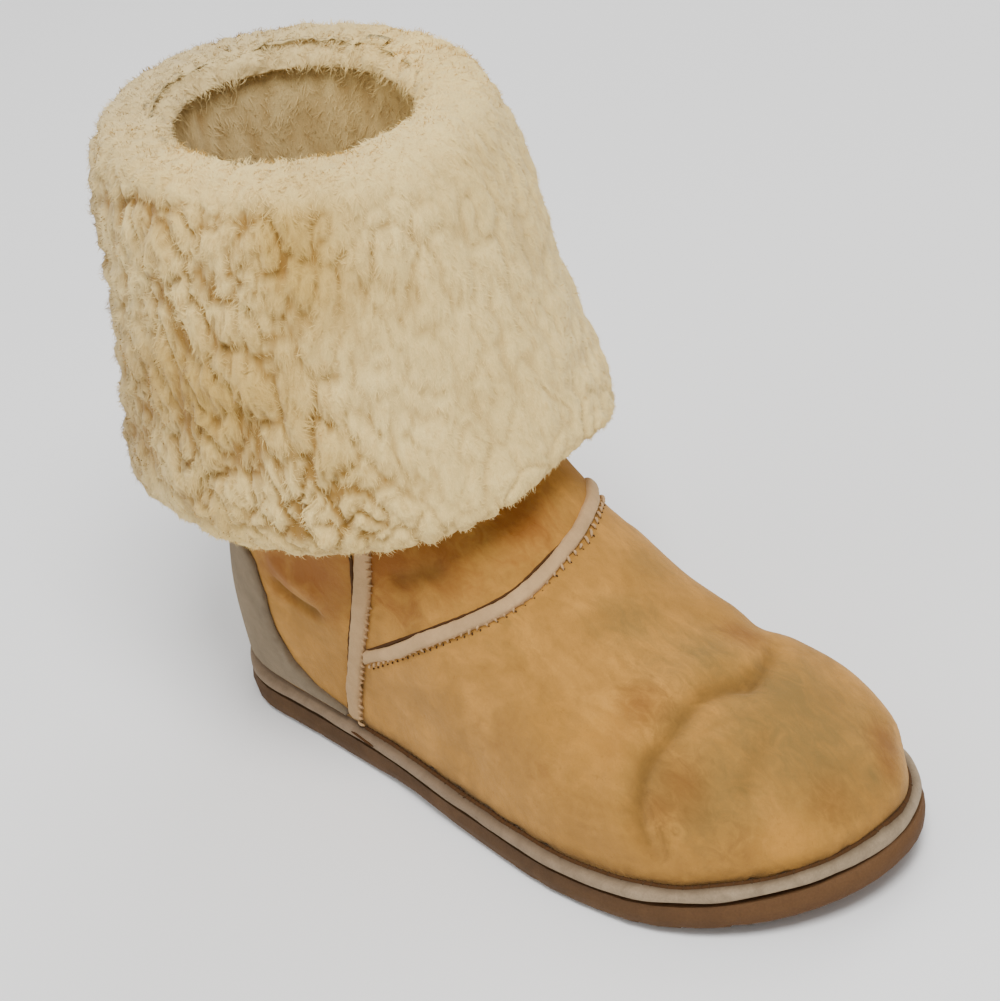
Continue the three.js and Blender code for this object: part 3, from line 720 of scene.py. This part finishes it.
class BOOT_OT_upper(bpy.types.Operator):
    """The suede upper with its creases and marks, and the wool of its lining"""

    bl_idname = "boot.upper"
    bl_label = "Upper"

    def execute(self, context):
        settings = context.scene.boot
        obj = copy_of("upper", "suede_upper")
        subdivide(obj, 2, 0.9)
        mesh = obj.data
        points = coordinates(mesh)
        outward = normals(mesh)
        tree = tree_of(obj)
        station = station_of(points)
        height = points[:, 2] / MM

        # the inner face of the wall looks towards the foot's own middle line
        core = in_frame(np.column_stack([
            np.where(height > SHAFT_FROM, SHAFT_AT, np.clip(station, SHAFT_AT, TOE_CORE_AT)),
            np.zeros(len(points)),
            np.where(station > HEEL_REACH, CORE_HEIGHT, height),
        ]))
        inside = (outward * (core - points)).sum(1) > 0
        under = outward[:, 2] < -0.8
        skin = ~inside & ~under

        shift = np.zeros(len(points))
        painted_crease_shade = np.zeros(len(points))
        for crease in CREASES:
            share = crease_share(points, crease, tree) * skin
            shift -= share * crease["depth"] * MM
            # narrow creases are stored for painted shade
            if crease["depth"] > 0 and crease["width"] < SHADED_CREASE_WIDTH:
                painted_crease_shade = np.maximum(painted_crease_shade, share * min(crease["depth"] / 2, 1))

        # the skin is drawn in along the seams and round its foot
        for path, width in (
            (side_seam_path(OUTER), SIDE_TAPE_WIDTH),
            (side_seam_path(INNER), SIDE_TAPE_WIDTH),
            (vamp_seam_path(), VAMP_TAPE_WIDTH),
        ):
            share = crease_share(points, {"path": path, "width": width * 1.5}, tree)
            shift -= share * skin * SEAM_PULL * MM
        over_foot = height - UPPER_FOOT - toe_rise(station)
        shift -= (1 - smooth_step(over_foot, 0, 5)) * skin * FOOT_PULL * MM

        # slack suede is never quite even
        shift += bumps(points, 22 * MM) * skin * 0.8 * MM
        locks = bumps(points, 4.5 * MM)
        woolly = inside | (height > RIM_HEIGHT - RIM_WOOL)
        shift += locks * woolly * 1.0 * MM
        moved_points = points + outward * shift[:, None]
        # and its foot is pressed down into the band
        moved_points[:, 2] -= (1 - smooth_step(over_foot, 0, 7)) * FOOT_SINK * MM
        place(mesh, moved_points)

        store(mesh, "Crease", painted_crease_shade)
        # darker towards the band: grime, and painted shade in the groove
        store(mesh, "Edge shade and grime", (1 - smooth_step(over_foot, 0, 6)) * skin * 0.7)
        store(mesh, "Foot edge", skin * (over_foot < FOOT_EDGE))
        for tone in TONES:
            strength = np.zeros(len(points))
            for mark in MARKS:
                if mark["tone"] == tone:
                    away = np.linalg.norm(points - in_frame(mark["at"]), axis=1) / (mark["size"] * MM)
                    strength = np.maximum(strength, mark["strength"] * np.exp(-(away**2)))
            store(mesh, tone.capitalize(), strength)
        # the lining's hollows get the root colour as painted shade
        store(mesh, "Gap", np.clip(0.2 - locks * 0.6, 0, 0.6) * woolly)
        store(mesh, "Golden", woolly * 0.25)
        store(mesh, "Wool", woolly * smooth_step(height, 105, 150))

        mesh.materials.append(suede("Tan suede", settings.suede_colour, 1.0, True))
        mesh.materials.append(wool("Lining wool", settings))
        lining = [int(woolly[list(face.vertices)].mean() > 0.5) for face in mesh.polygons]
        mesh.polygons.foreach_set("material_index", lining)
        finish_piece(obj, ["upper"], None)
        return {"FINISHED"}


# ---------------------------------------------------------------- bindings, counter and stitches


UNDERSIDE = 1.1 * MM  # vertices of a tape or the counter less than this over the skin are its underside


def sink_underside(obj, tree, depth):
    """Presses the underside of a piece down into the skin it lies on."""
    mesh = obj.data
    points = coordinates(mesh)
    for index, point in enumerate(points):
        spot, outward, _, _ = tree.find_nearest(Vector(point))
        if (Vector(point) - spot).dot(outward) < UNDERSIDE:
            points[index] = np.array(spot) - np.array(outward) * depth
    place(mesh, points)


class BOOT_OT_bindings(bpy.types.Operator):
    """The suede tapes over the side seams and the vamp's edge, and the heel counter"""

    bl_idname = "boot.bindings"
    bl_label = "Bindings"

    def execute(self, context):
        settings = context.scene.boot
        tree = tree_of(bpy.data.objects["suede_upper"])
        tape = suede("Tape suede", settings.tape_colour, 0.6)
        for node in ("side_binding_outer", "side_binding_inner", "vamp_binding"):
            obj = copy_of(node, node + "_tape")
            sink_underside(obj, tree, 0.9 * MM)
            subdivide(obj, 2)
            points = coordinates(obj.data)
            swell(obj, (bumps(points, 2.4 * MM) * 0.28 + bumps(points, 9 * MM) * 0.25) * MM)
            finish_piece(obj, [node], tape)

        counter = copy_of("heel_counter", "counter_suede")
        sink_underside(counter, tree, 0.6 * MM)
        subdivide(counter, 1)
        finish_piece(counter, ["heel_counter"],
                     suede("Counter suede", settings.counter_colour, 0.8))
        return {"FINISHED"}


# Distance from one stitch to the next in each row, and from ring to ring along the cords
SIDE_PITCH = 3.0 * MM
VAMP_PITCH = 3.3 * MM
BAND_PITCH = 2.7 * MM
CORD_PITCH = 1.5 * MM
SLIT_PITCH = 1.2 * MM
GROOVE_SHADE_AND_GRIME = 3.4 * MM  # width of the darkening in the band's groove: grime and painted shade


def raised(line, lift):
    """A line on the skin lifted by some millimetres."""
    spots, along, outward = line
    return spots + outward * lift * MM, along, outward


def moved(line, sideways, lift, toward):
    """A line on the skin moved sideways towards a direction, and lifted, in millimetres."""
    spots, along, outward = raised(line, lift)
    across = unit(np.cross(outward, along))
    sign = np.sign((across * np.asarray(toward, float)).sum(1))[:, None]
    return spots + across * sign * sideways * MM, along, outward


class BOOT_OT_stitches(bpy.types.Operator):
    """The overcast stitches along the tapes, dark cords of painted shadow in the gaps beside them, and the
    stitches over the band with painted shade and grime along its groove
    """

    bl_idname = "boot.stitches"
    bl_label = "Stitches"

    def execute(self, context):
        long = context.scene.boot.stitch_length
        tree = tree_of(bpy.data.objects["suede_upper"])
        pale_thread = thread("Pale thread", (0.74, 0.60, 0.43))
        dark_thread = thread("Dark thread", (0.30, 0.21, 0.12))
        seam_shade_and_grime = thread("Seam shade and grime", (0.31, 0.205, 0.11), 0.95)
        toeward, heelward, up, down = (1, 0, 0), (-1, 0, 0), (0, 0, 1), (0, 0, -1)

        def sew(name, line, size, thickness, slant, material):
            finish_piece(stitches(name, line, long * size, thickness * MM, slant), [], material)

        # a dark cord laid in a gap paints its shadow, with grime in the band's groove
        def lay(name, line, radius):
            finish_piece(seam_cord(name, line, radius * MM), [], seam_shade_and_grime)

        for side, label in ((OUTER, "outer"), (INNER, "inner")):
            path = in_frame(side_seam_path(side))
            edge = moved(skin_line(tree, path, SIDE_PITCH), SIDE_TAPE_WIDTH / 2 - 0.2, 0.9, toeward)
            sew("side_stitches_" + label, edge, 1.4, 1.1, 62, pale_thread)
            # a dark cord of painted shadow in the gap along the tape's heelward edge
            gap = moved(skin_line(tree, path, CORD_PITCH), SIDE_TAPE_WIDTH / 2 + 0.6, 0.15, heelward)
            lay("side_seam_" + label, gap, 0.65)

        path = in_frame(vamp_seam_path())
        row = skin_line(tree, path, VAMP_PITCH)
        edge = moved(row, VAMP_TAPE_WIDTH / 2 - 0.6, 0.7, down)
        sew("vamp_stitches", edge, 1.25, 1.05, 52, pale_thread)
        edge = moved(row, VAMP_TAPE_WIDTH / 2 + 0.75, 0.0, down)
        sew("vamp_needle_holes", edge, 0.42, 0.65, 80, dark_thread)
        # a dark cord of painted shadow in the gap above the vamp binding
        gap = moved(skin_line(tree, path, CORD_PITCH), VAMP_TAPE_WIDTH / 2 + 0.65, 0.1, up)
        lay("vamp_seam", gap, 0.65)

        # the band's row runs in the groove where the upper meets the band, from side seam round the toe
        band = bpy.data.objects["soft_band"]
        band_tree = tree_of(band)
        groove = groove_path()
        line = skin_line(band_tree, groove + np.array([0, 0, 0.4 * MM]), BAND_PITCH)
        sew("band_stitches", line, 0.85, 0.8, 78, dark_thread)
        line = skin_line(band_tree, groove, CORD_PITCH)
        # the band darkens towards the groove under the upper: grime and painted shade
        groove_shade_and_grime, _ = near_line(coordinates(band.data), line[0], GROOVE_SHADE_AND_GRIME)
        store(band.data, "Groove", groove_shade_and_grime)
        # a dark cord of grime and painted shade sunk in the band's groove
        lay("band_seam_shade_and_grime", raised(line, -0.35), 0.9)

        # a short slit in the band under the outer side seam
        slit = skin_line(band_tree, in_frame([(83, -47, 14.6), (89, -47, 13.8), (95, -48, 13.6)]), SLIT_PITCH)
        # a dark cord paints the shade inside the slit
        lay("band_slit_shade", raised(slit, 0.15), 0.45)
        return {"FINISHED"}


GROOVE = {"centre": (150, -2, 0), "turn": 146, "points": 70, "slice": 2.6, "out": 0.9}


def groove_path():
    """The line where the upper's foot meets the band, from one side seam round the toe to the other."""
    mesh = bpy.data.objects["suede_upper"].data
    edge = coordinates(mesh)[stored(mesh, "Foot edge") > 0.5]
    centre = in_frame(GROOVE["centre"])[:2]
    turn = np.arctan2(edge[:, 1] - centre[1], edge[:, 0] - centre[0])
    limit = math.radians(GROOVE["turn"])
    path = []
    for start in np.linspace(-limit, limit, GROOVE["points"]):
        chosen = edge[np.abs(turn - start) < math.radians(GROOVE["slice"])]
        if len(chosen):
            away = np.linalg.norm(chosen[:, :2] - centre, axis=1)
            path.append(chosen[away.argmax()])
    path = np.array(path)
    path[1:-1] = (path[:-2] + 2 * path[1:-1] + path[2:]) / 4
    path[:, :2] += unit(path[:, :2] - centre) * GROOVE["out"] * MM
    path[:, 2] = (UPPER_FOOT + toe_rise(station_of(path))) * MM
    return path


# ---------------------------------------------------------------- the sole


class BOOT_OT_sole(bpy.types.Operator):
    """The rubber outsole, the soft band over it and the footbed"""

    bl_idname = "boot.sole"
    bl_label = "Sole"

    def execute(self, context):
        settings = context.scene.boot
        outsole = copy_of("outsole", "rubber_outsole")
        bpy.ops.object.shade_smooth_by_angle(angle=math.radians(40))
        finish_piece(outsole, ["outsole"], self.rubber(settings.outsole_colour))

        band = copy_of("midsole_band", "soft_band")
        subdivide(band, 3, 0.15)
        points = coordinates(band.data)
        swell(band, bumps(points, 14 * MM) * 0.45 * MM)
        store(band.data, "Toe", smooth_step(station_of(points), 140, 270))
        finish_piece(band, ["midsole_band"], self.band_suede(settings.band_colour))

        footbed = copy_of("insole", "fleece_footbed")
        subdivide(footbed, 2)
        locks = bumps(coordinates(footbed.data), 4 * MM)
        swell(footbed, locks * 0.8 * MM)
        # the footbed's hollows get the root colour as painted shade
        store(footbed.data, "Gap", np.clip(0.25 - locks, 0, 0.8))
        store(footbed.data, "Golden", np.full(len(locks), 0.5))
        finish_piece(footbed, ["insole"], wool("Footbed wool", settings))
        return {"FINISHED"}

    @staticmethod
    def rubber(base):
        """Brown foamed rubber, dusty near the floor."""
        s = Shader("Brown rubber foam", 0.82)
        wear = s.ramp(s.noise(14 * MM, 5, 0.6, 0.5), 0.3, 0.7)
        speck = s.ramp(s.noise(0.8 * MM, 3, 0.6), 0.35, 0.7)
        tone = s.blend(wear, linear(base, 0.75), linear(base, 1.15))
        tone = s.blend(s.ramp(s.along("X"), 60 * MM, 135 * MM, 0, 0.6), tone, linear((0.41, 0.285, 0.175)))
        tone = s.blend(s.ramp(s.along("Z"), 0.0, 6 * MM, 0.4, 0.0), tone, linear((0.44, 0.36, 0.27)))
        tone = s.blend(s.maths("MULTIPLY", speck, 0.3), tone, linear(base, 0.55))
        normal = s.bump(s.noise(0.9 * MM, 4, 0.65), 0.3 * MM, 0.6)
        normal = s.bump(s.noise(9 * MM, 3), 0.6 * MM, 0.4, normal)
        return s.done(tone, normal)

    @staticmethod
    def band_suede(base):
        """The band's worn suede, paler round the toe."""
        s = Shader("Band suede", 0.92, 0.15, (1.0, 0.88, 0.7))
        mottle = s.ramp(s.noise(7 * MM, 5, 0.65, 0.5), 0.36, 0.66)
        tone = s.blend(s.attribute("Toe"), linear(base), linear((0.62, 0.545, 0.44)))
        tone = s.blend(s.maths("MULTIPLY", mottle, 0.5), tone, linear(base, 0.6))
        tone = s.blend(s.ramp(s.noise(0.8 * MM, 3, 0.7), 0.35, 0.7, 0, 0.25), tone, linear(base, 0.5))
        # grime and painted shade in the groove under the upper
        tone = s.blend(s.maths("MULTIPLY", s.attribute("Groove"), 0.88), tone, linear((0.22, 0.16, 0.10)))
        normal = s.bump(s.noise(0.6 * MM, 4, 0.7), 0.3 * MM, 0.55)
        return s.done(tone, s.bump(s.noise(6 * MM, 4), 0.6 * MM, 0.4, normal))


# ---------------------------------------------------------------- the cuff


LOCK_STRETCH = 0.72  # locks are longer up and down than round the cuff


def lock_field(points, size, seed):
    """Curly locks: for each point its height on its lock, from 0 in a gap to 1, and the lock's own middle."""
    offset = Vector((seed * 7.3, seed * 3.1, seed * 5.7))
    height = np.empty(len(points))
    middle = np.empty((len(points), 3))
    for index, point in enumerate(points):
        spot = Vector((point[0], point[1], point[2] * LOCK_STRETCH)) / size + offset
        warp = noise.noise_vector(spot * 0.45) * 0.9 + noise.noise_vector(spot * 1.5) * 0.42
        gaps, centres = noise.voronoi(spot + warp)
        height[index] = min((gaps[1] - gaps[0]) * 1.9, 1.0)
        centre = (centres[0] - warp - offset) * size
        middle[index] = (centre.x, centre.y, centre.z / LOCK_STRETCH)
    return height, middle


def brushed_share(points):
    """Where the wool is brushed smooth: towards the front and the inner side, and along the lower edge."""
    forward = station_of(points) + 0.35 * points[:, 1] / MM
    front = smooth_step(forward + 12 * bumps(points, 28 * MM), 92, 138)
    edge = 1 - smooth_step(points[:, 2] / MM, 100, 122)
    return np.clip(np.maximum(front, 0.8 * edge), 0, 1)


def curly_share(points):
    """Where the gaps between locks open up: in patches of the unbrushed wool."""
    patch = bumps(points, 30 * MM, (3, 1, 7))
    low = 1 - smooth_step(points[:, 2] / MM, 120, 215)
    return np.clip(0.62 + 1.0 * patch + 0.3 * low, 0.25, 1) * (1 - 0.85 * brushed_share(points))


FOLD_ROLL = 6.5  # how far the fold rolls in over the shaft's rim
FINE_LOCKS = 0.48  # size of the small curls on the locks


class BOOT_OT_cuff(bpy.types.Operator):
    """The folded cuff's body of wool, shaped into curly locks"""

    bl_idname = "boot.cuff"
    bl_label = "Cuff"

    def execute(self, context):
        settings = context.scene.boot
        obj = copy_of("fleece_cuff", "wool_cuff")
        subdivide(obj, 3, 0.8)
        mesh = obj.data
        points = coordinates(mesh)
        outward = normals(mesh)
        height = points[:, 2] / MM

        # the fold rolls over the shaft's rim, and its locks lie flatter there
        way = unit(from_shaft(points))
        facing_out = (outward[:, :2] * way).sum(1)
        to_shaft = facing_out < 0
        roll = to_shaft * smooth_step(height, RIM_HEIGHT - 1, RIM_HEIGHT + 4) * FOLD_ROLL * MM
        hidden = to_shaft & (height < RIM_HEIGHT - 5)
        rim = smooth_step(-facing_out, -0.5, 0.3) * smooth_step(height, RIM_HEIGHT - 12, RIM_HEIGHT - 2)
        rim = np.maximum(rim, smooth_step(height, RIM_HEIGHT, RIM_HEIGHT + 8))

        coarse, _ = lock_field(points, settings.lock_size, 1)
        fine, _ = lock_field(points, settings.lock_size * FINE_LOCKS, 2)
        curly = curly_share(points) * (1 - 0.85 * rim)
        depth = settings.lock_depth * (0.3 + 0.7 * curly)
        rise = (coarse**0.6 - 0.75) * depth + (fine**0.6 - 0.7) * depth * 0.4
        rise += bumps(points, 3.2 * MM) * 0.4 * MM + bumps(points, 26 * MM, (5, 5, 1)) * 1.2 * MM
        rise = np.where(hidden, 0, rise - 0.6 * MM)
        moved_points = points + outward * rise[:, None]
        moved_points[:, :2] -= way * roll[:, None]
        place(mesh, moved_points)

        # the crevices between the locks get the root colour as painted shade
        gap = (1 - smooth_step(coarse, 0.0, 0.34)) + 0.55 * (1 - smooth_step(fine, 0.0, 0.3))
        store(mesh, "Gap", np.clip(gap * (0.15 + 1.05 * curly) * (1 - 0.6 * rim), 0, 1))
        golden = np.clip(0.45 + bumps(points, 36 * MM, (1, 9, 4)), 0, 0.9)
        store(mesh, "Golden", golden * (1 - 0.8 * brushed_share(points)) * (1 - 0.7 * rim))
        store(mesh, "Wool", ~hidden)
        finish_piece(obj, ["fleece_cuff"], wool("Cuff wool", settings))
        return {"FINISHED"}


ROOT_DEPTH = 0.9 * MM  # how deep a strand is rooted
STRAND_WIDTH = (0.09, 0.17)  # least and most half width, in millimetres
STRAND_ROWS = ((0.0, 1.0), (0.4, 0.85), (0.75, 0.55), (1.0, 0.0))  # share of the length, share of the width
STRAND_FACES = ((0, 3, 1), (0, 2, 3), (2, 5, 3), (2, 4, 5), (4, 6, 5))
STRAND_GAP_SHADE_FADE = (1.0, 1.0, 0.8, 0.8, 0.5, 0.5, 0.3)  # how much of its root's gap tone, root colour and painted shade, each vertex keeps
TUFT = 0.62  # size of a tuft of strands beside a lock


class BOOT_OT_strands(bpy.types.Operator):
    """Loose strands over the cuff, rim and lining, gathered towards the locks they belong to"""

    bl_idname = "boot.strands"
    bl_label = "Strands"

    def execute(self, context):
        settings = context.scene.boot
        s = Shader("Wool strand", 0.85, 0.15, (1.0, 0.93, 0.8))
        material = s.done(wool_tone(s, settings))
        cuff, upper = bpy.data.objects["wool_cuff"], bpy.data.objects["suede_upper"]
        long = settings.strand_length
        for seed, label in enumerate(("first", "second", "third"), start=1):
            self.grow(cuff, "cuff_strands_" + label, settings.strand_count, long, seed, material)
        self.grow(upper, "lining_strands", settings.lining_strand_count, long * 1.25, 4, material)
        return {"FINISHED"}

    @staticmethod
    def grow(source, name, count, long, seed, material):
        """Strands rooted on the source's woolly faces."""
        mesh = source.data
        mesh.calc_loop_triangles()
        corners = np.empty(len(mesh.loop_triangles) * 3, dtype=int)
        mesh.loop_triangles.foreach_get("vertices", corners)
        corners = corners.reshape(-1, 3)
        points, outward = coordinates(mesh), normals(mesh)
        a, b, c = (points[corners[:, k]] for k in range(3))
        weight = np.linalg.norm(np.cross(b - a, c - a), axis=1) * stored(mesh, "Wool")[corners].min(1)
        chance = np.random.default_rng(seed)
        chosen = corners[chance.choice(len(corners), count, p=weight / weight.sum())]
        u, v = chance.random((2, count))
        flip = u + v > 1
        u, v = np.where(flip, 1 - u, u), np.where(flip, 1 - v, v)
        shares = np.stack([1 - u - v, u, v], axis=1)
        root = (points[chosen] * shares[..., None]).sum(1)
        up = unit((outward[chosen] * shares[..., None]).sum(1))
        gap = (stored(mesh, "Gap")[chosen] * shares).sum(1)
        golden = (stored(mesh, "Golden")[chosen] * shares).sum(1)

        _, middle = lock_field(root, bpy.context.scene.boot.lock_size * TUFT, 3)
        lean = (middle - root) / (4 * MM)
        lean -= up * (lean * up).sum(1)[:, None]
        lean /= np.maximum(np.linalg.norm(lean, axis=1)[:, None], 1.0)
        swirl = np.array([noise.noise_vector(Vector(p) / (24 * MM)) for p in root])
        stray = chance.normal(0, 0.3, (count, 3))
        down = np.array([0, 0, -1.0]) - up * (-up[:, 2:])
        brushed = brushed_share(root)[:, None]
        comb = lean * (0.75 - 0.45 * brushed) + down * (0.35 + 0.25 * brushed) + swirl * 0.7 + stray
        comb -= up * (comb * up).sum(1)[:, None]
        reach = long * chance.uniform(0.6, 1.1, count)[:, None] * (1 - 0.25 * brushed)
        reach *= 1 - 0.55 * gap[:, None]
        twist = unit(np.cross(up, comb)) * chance.normal(0, 0.2, count)[:, None]
        half_width = chance.uniform(*STRAND_WIDTH, count)[:, None] * MM
        side = unit(np.cross(comb, up)) * half_width

        rows = []
        for t, narrow in STRAND_ROWS:
            spine = root - up * ROOT_DEPTH + reach * (
                up * (0.70 * t - 0.26 * t * t) + comb * (0.10 * t + 0.55 * t * t) + twist * math.sin(3 * t))
            rows += [spine + side * narrow, spine - side * narrow] if narrow else [spine]
        strand = np.stack(rows, axis=1)
        per = strand.shape[1]
        triangles = (np.arange(count)[:, None, None] * per + np.array([STRAND_FACES])).reshape(-1, 3)
        obj = triangle_object(name, strand.reshape(-1, 3), triangles)
        shake = chance.uniform(-0.06, 0.12, count)[:, None]
        # each strand keeps its root's painted gap shade, fading towards its tip
        store(obj.data, "Gap", np.clip(gap[:, None] * np.array([STRAND_GAP_SHADE_FADE]) + shake, 0, 1).ravel())
        store(obj.data, "Golden", np.repeat(golden, per))
        soft = unit(np.repeat(up, per, axis=0) + 0.6 * normals(obj.data))
        obj.data.normals_split_custom_set_from_vertices(soft)
        finish_piece(obj, [], material)


# ---------------------------------------------------------------- floor, light and camera


LIGHTS = (  # name, place, size and power
    ("key_light", (0.75, -0.45, 1.9), 0.8, 46),
    ("fill_light", (-0.7, -1.3, 1.1), 1.4, 8),
    ("back_light", (-0.6, 1.3, 1.6), 1.2, 14),
)
DAYLIGHT = 0.62
VIEW = {"azimuth": 49.8, "elevation": 34.6, "roll": 10.6, "distance": 1.0, "lens": 108, "sensor": 36}
VIEW_FROM = Vector((0.010, 0, 0.060))  # the camera stands away from here
VIEW_AIM = Vector((0.0, 0.0, 0.1))  # and looks here


class BOOT_OT_stage(bpy.types.Operator):
    """The pale floor, the soft light and the camera"""

    bl_idname = "boot.stage"
    bl_label = "Stage"

    def execute(self, context):
        deselect()
        bpy.ops.mesh.primitive_plane_add(size=12, location=(0, 0, 0))
        floor = context.object
        floor.name = "floor"
        s = Shader("Pale floor", 0.9)
        cloudy = s.blend(s.noise(0.3, 2), linear((0.94, 0.94, 0.94)), linear((0.96, 0.96, 0.96)))
        floor.data.materials.append(s.done(cloudy))

        world = bpy.data.worlds.new("Studio")
        context.scene.world = world
        world.use_nodes = True
        world.node_tree.nodes["Background"].inputs["Color"].default_value = (1.0, 1.0, 1.0, 1)
        world.node_tree.nodes["Background"].inputs["Strength"].default_value = DAYLIGHT

        for name, spot, size, power in LIGHTS:
            bpy.ops.object.light_add(type="AREA", location=spot)
            light = context.object
            light.name = name
            light.data.size = size
            light.data.energy = power
            light.rotation_euler = (VIEW_AIM - Vector(spot)).to_track_quat("-Z", "Y").to_euler()

        azimuth, elevation, roll = (math.radians(VIEW[turn]) for turn in ("azimuth", "elevation", "roll"))
        back = Vector((math.sin(azimuth) * math.cos(elevation), -math.cos(azimuth) * math.cos(elevation),
                       math.sin(elevation)))
        stand = VIEW_FROM + back * VIEW["distance"]
        bpy.ops.object.camera_add(location=stand)
        camera = context.object
        camera.name = "camera"
        camera.data.lens = VIEW["lens"]
        camera.data.sensor_width = VIEW["sensor"]
        camera.data.clip_start = 0.05
        camera.data.clip_end = 50
        look = (VIEW_AIM - stand).to_track_quat("-Z", "Y")
        camera.rotation_euler = (look.to_matrix() @ Matrix.Rotation(-roll, 3, "Z")).to_euler()
        context.scene.camera = camera
        return {"FINISHED"}


# ---------------------------------------------------------------- panel and main


class BOOT_PT_panel(bpy.types.Panel):
    """Settings and steps of the boot"""

    bl_label = "Sheepskin boot"
    bl_idname = "BOOT_PT_panel"
    bl_space_type = "VIEW_3D"
    bl_region_type = "UI"
    bl_category = "Boot"

    def draw(self, context):
        settings = context.scene.boot
        for name in BootSettings.__annotations__:
            self.layout.prop(settings, name)
        for step in STEPS:
            self.layout.operator(step.bl_idname)


STEPS = (BOOT_OT_sole, BOOT_OT_upper, BOOT_OT_bindings, BOOT_OT_stitches, BOOT_OT_cuff, BOOT_OT_strands,
         BOOT_OT_stage)
CLASSES = (BootSettings, *STEPS, BOOT_PT_panel)


def register():
    """Adds the settings, steps and panel to Blender."""
    for entry in CLASSES:
        bpy.utils.register_class(entry)
    bpy.types.Scene.boot = bpy.props.PointerProperty(type=BootSettings)


def unregister():
    """Takes them out again."""
    del bpy.types.Scene.boot
    for entry in reversed(CLASSES):
        bpy.utils.unregister_class(entry)


def main():
    """Builds the boot and its stage."""
    register()
    bpy.ops.boot.sole()
    bpy.ops.boot.upper()
    bpy.ops.boot.bindings()
    bpy.ops.boot.stitches()
    bpy.ops.boot.cuff()
    bpy.ops.boot.strands()
    bpy.ops.boot.stage()


if __name__ == "__main__":
    main()
